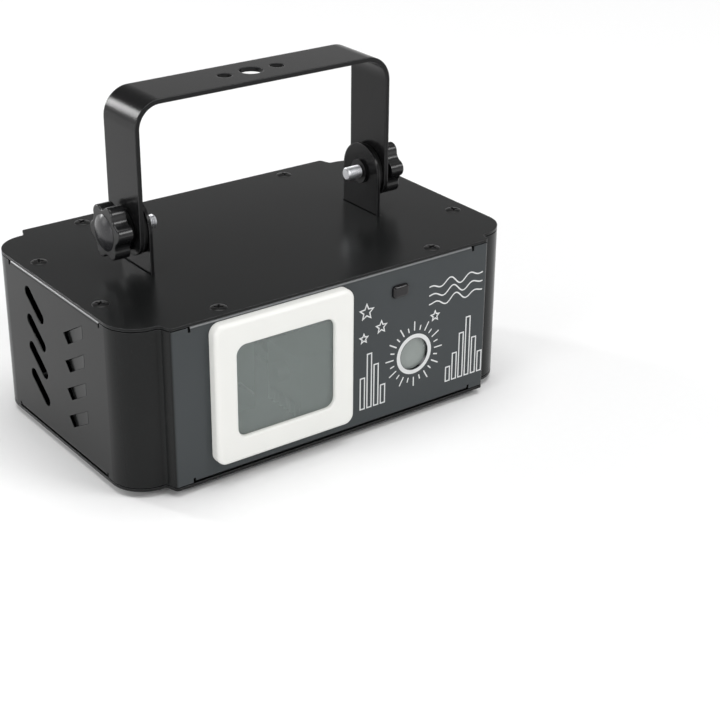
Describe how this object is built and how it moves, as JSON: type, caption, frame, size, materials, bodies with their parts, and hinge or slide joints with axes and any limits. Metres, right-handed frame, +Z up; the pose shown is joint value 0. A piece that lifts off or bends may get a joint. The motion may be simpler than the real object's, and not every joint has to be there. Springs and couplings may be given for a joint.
{
  "type": "laser show projector",
  "caption": "Black sheet-metal laser show projector with a white-framed window, a round second outlet, side vents and a hanging yoke held by lobed hand knobs.",
  "frame": {"origin": "on the floor under the middle of the body's bounding box, at the level of the rubber feet", "axes": "+Z up, -Y out of the front with the window, +X to the viewer's right seen from the front"},
  "size_m": [0.2, 0.1386, 0.1516],
  "materials": {
    "powder_coat": "satin, fine texture",
    "black_steel": "semi-gloss",
    "white_plastic": "satin",
    "clear_glass": "polished",
    "frosted_pane": "fine grain",
    "dark_pane": "gloss",
    "knob_plastic": "gloss",
    "socket_plastic": "matt",
    "zinc": "bright zinc",
    "gold_contacts": "polished",
    "rubber": "matt",
    "aluminium": "milled",
    "mirror": "front-coated",
    "circuit_board": "satin"
  },
  "bodies": {
    "housing": {"base_plate": "powder_coat", "base_screws": "black_steel", "beam_clamp": "aluminium", "beam_laser": "gold_contacts", "board_posts": "zinc", "button_switches": "socket_plastic", "control_board": "circuit_board", "display_module": "socket_plastic", "display_window": "dark_pane", "dmx_in_pins": "gold_contacts", "dmx_in_socket": "socket_plastic", "dmx_out_socket": "socket_plastic", "fan_frame": "socket_plastic", "fan_guard": "black_steel", "front_shell": "powder_coat", "grating_motor": "zinc", "inlet_pins": "zinc", "laser_heat_sink": "aluminium", "laser_module": "aluminium", "left_ear": "powder_coat", "left_ear_nut": "black_steel", "left_friction_washer": "rubber", "microphone": "zinc", "outlet_lens": "frosted_pane", "power_inlet": "socket_plastic", "rear_panel": "powder_coat", "rear_screws": "black_steel", "right_ear": "powder_coat", "right_ear_nut": "black_steel", "right_friction_washer": "rubber", "rubber_feet": "rubber", "scan_motors": "zinc", "scanner_bracket": "aluminium", "sensor_receiver": "socket_plastic", "sensor_window": "dark_pane", "supply_board": "circuit_board", "supply_parts": "circuit_board", "top_plate": "powder_coat", "top_screws": "black_steel", "window_bezel": "white_plastic", "window_glass": "clear_glass"},
    "yoke_body": {"yoke": "powder_coat"},
    "left_washer_body": {"left_clamp_washer": "black_steel"},
    "left_knob_body": {"left_knob": "knob_plastic", "left_knob_cap": "knob_plastic", "left_stud": "zinc"},
    "right_washer_body": {"right_clamp_washer": "black_steel"},
    "right_knob_body": {"right_knob": "knob_plastic", "right_knob_cap": "knob_plastic", "right_stud": "zinc"},
    "fan_body": {"fan_rotor": "socket_plastic"},
    "grating_body": {"grating_wheel": "frosted_pane"},
    "low_mirror_body": {"low_scan_shaft": "zinc", "low_scan_mirror": "mirror"},
    "high_mirror_body": {"high_scan_shaft": "zinc", "high_scan_mirror": "mirror"},
    "button_1_body": {"menu_button_1": "socket_plastic"},
    "button_2_body": {"menu_button_2": "socket_plastic"},
    "button_3_body": {"menu_button_3": "socket_plastic"},
    "button_4_body": {"menu_button_4": "socket_plastic"}
  },
  "joints": [
    {"name": "yoke_tilt", "type": "hinge", "parent": "housing", "child": "yoke_body", "pos_m": [0, 0, 0.0946], "axis": [1, 0, 0], "range_deg": [-90, 90]},
    {"name": "fan_spin", "type": "hinge", "parent": "housing", "child": "fan_body", "pos_m": [-0.0518, 0.058, 0.0398], "axis": [0, 1, 0], "continuous": true},
    {"name": "grating_spin", "type": "hinge", "parent": "housing", "child": "grating_body", "pos_m": [0.041, -0.055, 0.043], "axis": [0, -1, 0], "continuous": true},
    {"name": "low_mirror_scan", "type": "hinge", "parent": "housing", "child": "low_mirror_body", "pos_m": [-0.02965, -0.0303, 0.024], "axis": [0, 1, 0], "range_deg": [-15, 15]},
    {"name": "high_mirror_scan", "type": "hinge", "parent": "housing", "child": "high_mirror_body", "pos_m": [-0.02965, -0.0303, 0.046], "axis": [1, 0, 0], "range_deg": [-15, 15]},
    {"name": "left_knob_travel", "type": "slide", "parent": "housing", "child": "left_washer_body", "axis": [-1, 0, 0], "range_m": [0, 0.002]},
    {"name": "left_knob_turn", "type": "hinge", "parent": "left_washer_body", "child": "left_knob_body", "pos_m": [-0.07, 0, 0.0946], "axis": [-1, 0, 0], "range_deg": [0, 720]},
    {"name": "right_knob_travel", "type": "slide", "parent": "housing", "child": "right_washer_body", "axis": [1, 0, 0], "range_m": [0, 0.002]},
    {"name": "right_knob_turn", "type": "hinge", "parent": "right_washer_body", "child": "right_knob_body", "pos_m": [0.07, 0, 0.0946], "axis": [1, 0, 0], "range_deg": [0, 720]},
    {"name": "button_1_press", "type": "slide", "parent": "housing", "child": "button_1_body", "axis": [0, -1, 0], "range_m": [0, 0.0005], "stiffness_N_per_m": 800, "springref_m": -0.0005},
    {"name": "button_2_press", "type": "slide", "parent": "housing", "child": "button_2_body", "axis": [0, -1, 0], "range_m": [0, 0.0005], "stiffness_N_per_m": 800, "springref_m": -0.0005},
    {"name": "button_3_press", "type": "slide", "parent": "housing", "child": "button_3_body", "axis": [0, -1, 0], "range_m": [0, 0.0005], "stiffness_N_per_m": 800, "springref_m": -0.0005},
    {"name": "button_4_press", "type": "slide", "parent": "housing", "child": "button_4_body", "axis": [0, -1, 0], "range_m": [0, 0.0005], "stiffness_N_per_m": 800, "springref_m": -0.0005}
  ],
  "couplings": [
    {"joint": "left_knob_travel", "follows": "left_knob_turn", "m_per_rad": 0.00015915},
    {"joint": "right_knob_travel", "follows": "right_knob_turn", "m_per_rad": 0.00015915}
  ]
}
